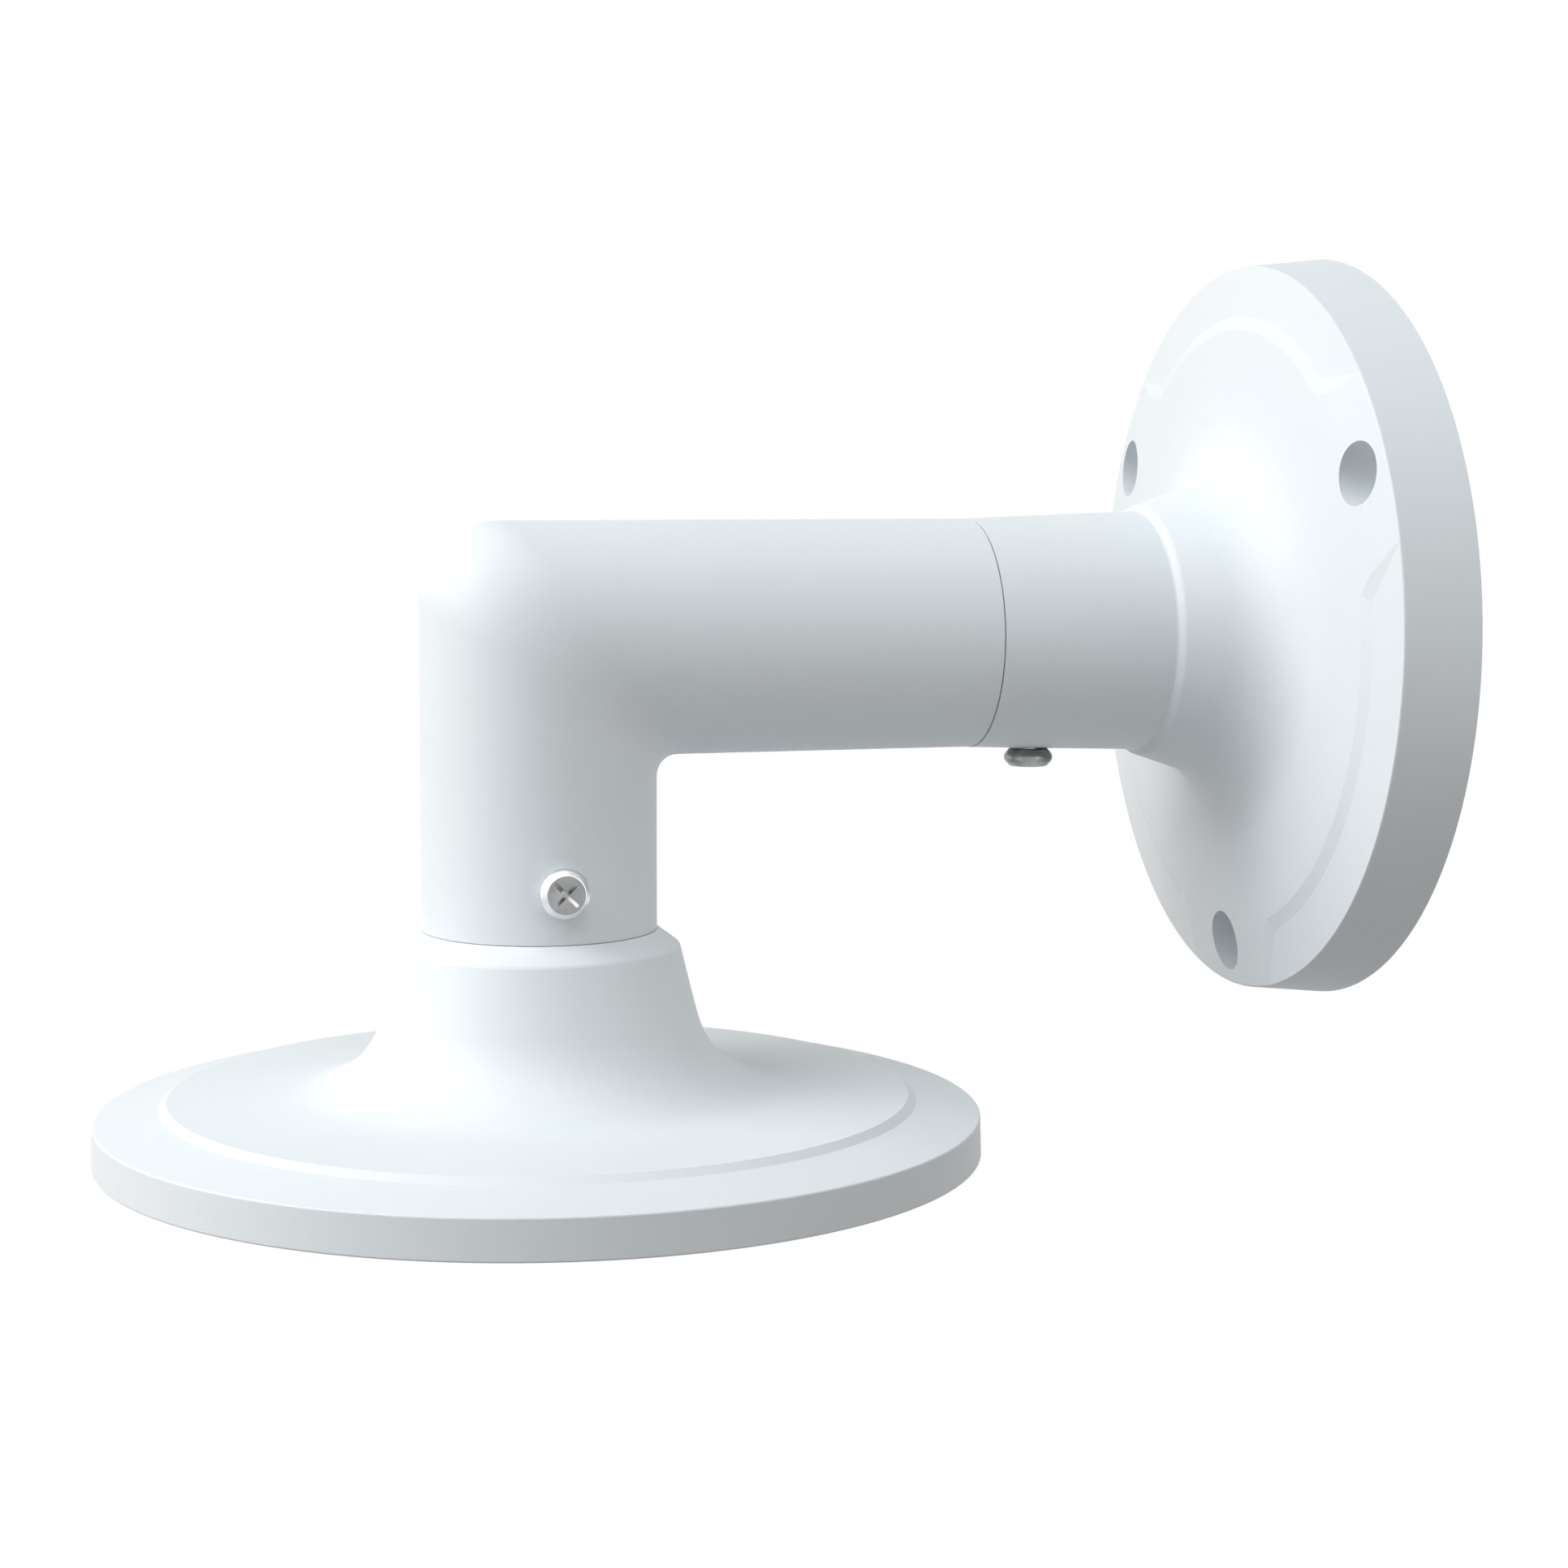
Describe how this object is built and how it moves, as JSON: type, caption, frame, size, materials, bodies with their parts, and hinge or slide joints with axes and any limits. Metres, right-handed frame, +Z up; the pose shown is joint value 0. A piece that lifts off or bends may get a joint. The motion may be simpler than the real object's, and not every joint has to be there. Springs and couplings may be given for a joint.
{
  "type": "camera bracket",
  "caption": "White L-shaped wall arm for a small dome camera: round wall flange, straight tube with a tight elbow, and a round hollow camera plate, locked together by screws.",
  "frame": {"origin": "centre of the wall flange's flat back face, on the wall plane", "axes": "+Y points into the wall, so the arm goes out along -Y; +Z is up and the camera plate faces -Z; X is level along the wall"},
  "size_m": [0.1304, 0.1871, 0.1323],
  "materials": {
    "white_coat": "satin white powder coat on die-cast aluminium",
    "screw_steel": "bright plated steel"
  },
  "bodies": {
    "root": {"wall_flange": "white_coat", "elbow_arm": "white_coat", "camera_plate": "white_coat", "arm_lock_screw": "screw_steel", "leg_lock_screw": "screw_steel"}
  },
  "joints": []
}
